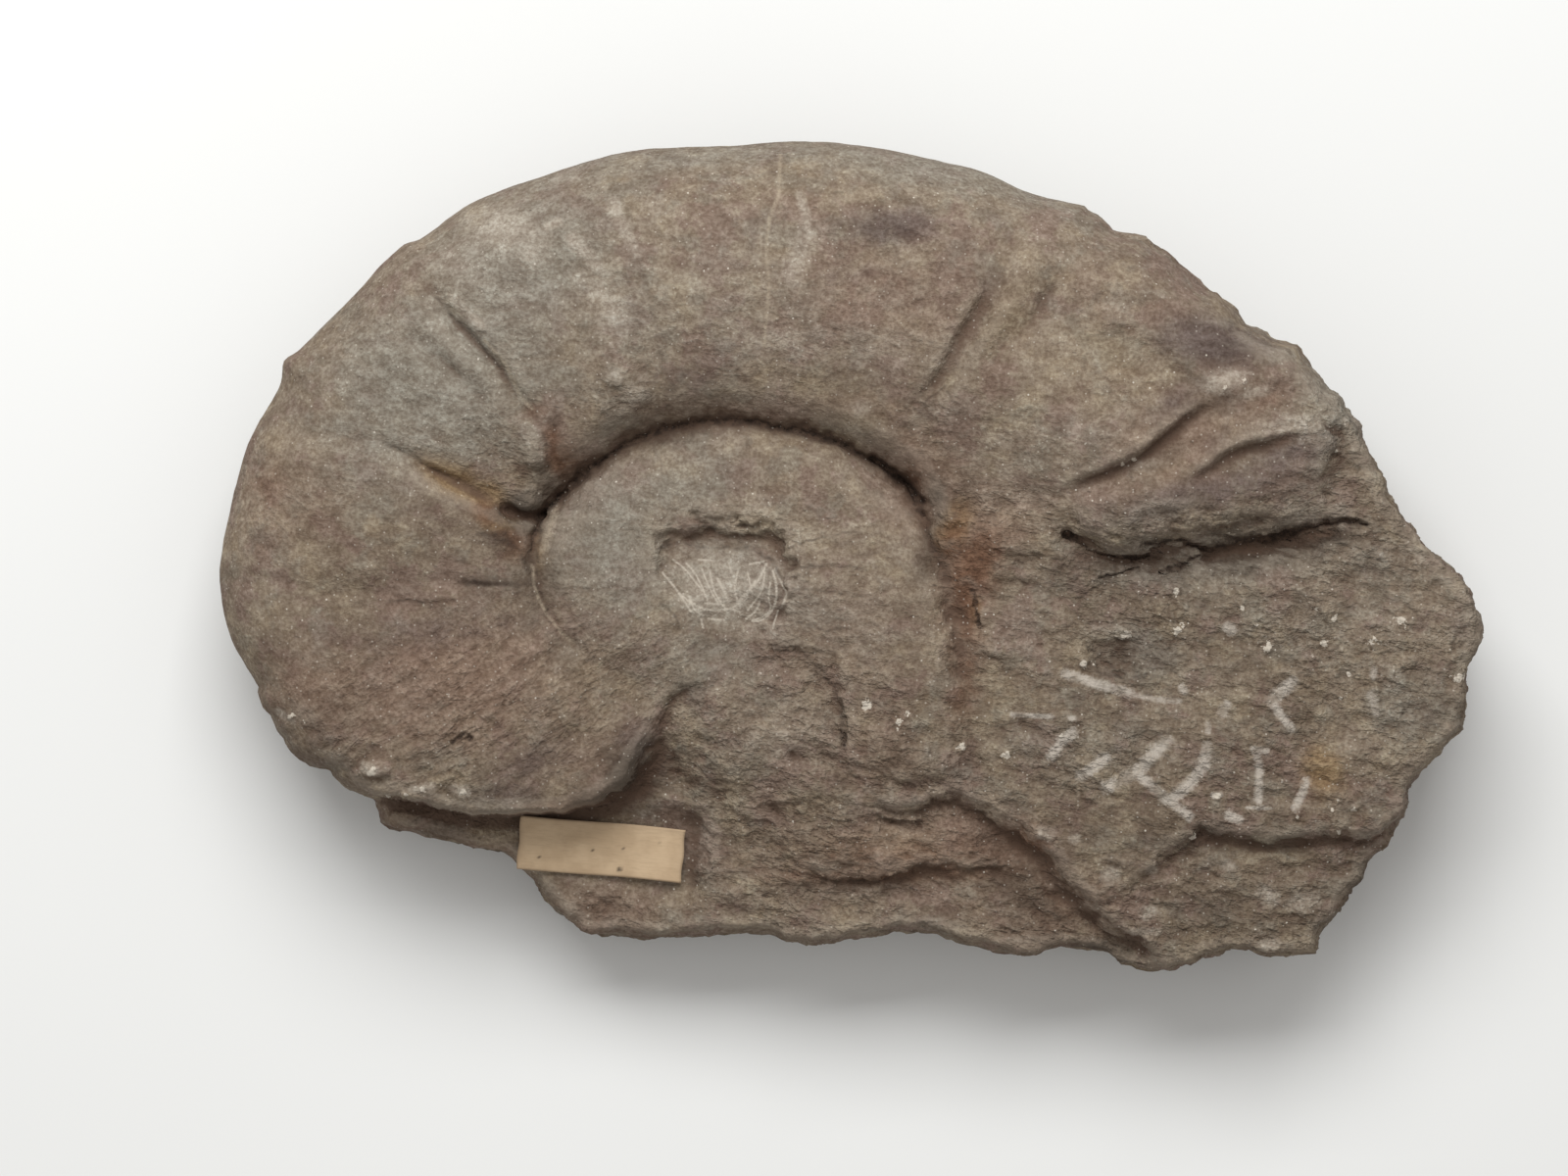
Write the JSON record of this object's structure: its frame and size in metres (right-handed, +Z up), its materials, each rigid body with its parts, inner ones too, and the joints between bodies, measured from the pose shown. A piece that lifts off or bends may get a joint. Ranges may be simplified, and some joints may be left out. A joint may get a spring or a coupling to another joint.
{
  "type": "fossil eleniceras ammonite",
  "caption": "Large fossil ammonite lying on its side in a loose piece of its rock, with a small blank paper label glued on, flat underneath so that it rests on a shelf.",
  "frame": {"origin": "middle of the stone's outline as seen from above, on the flat face that it rests on", "axes": "+Z up off the resting face, through the side of the shell that is seen; +X along the stone's length towards the broken rock; +Y towards the whole outer edge of the shell"},
  "size_m": [0.2696, 0.178, 0.0556],
  "materials": {
    "stone": "matt, rough brown-grey marly limestone with purple and rust patches",
    "label_paper": "matt, aged tan paper"
  },
  "bodies": {
    "root": {"ammonite_stone": "stone", "paper_label": "label_paper"}
  },
  "joints": []
}
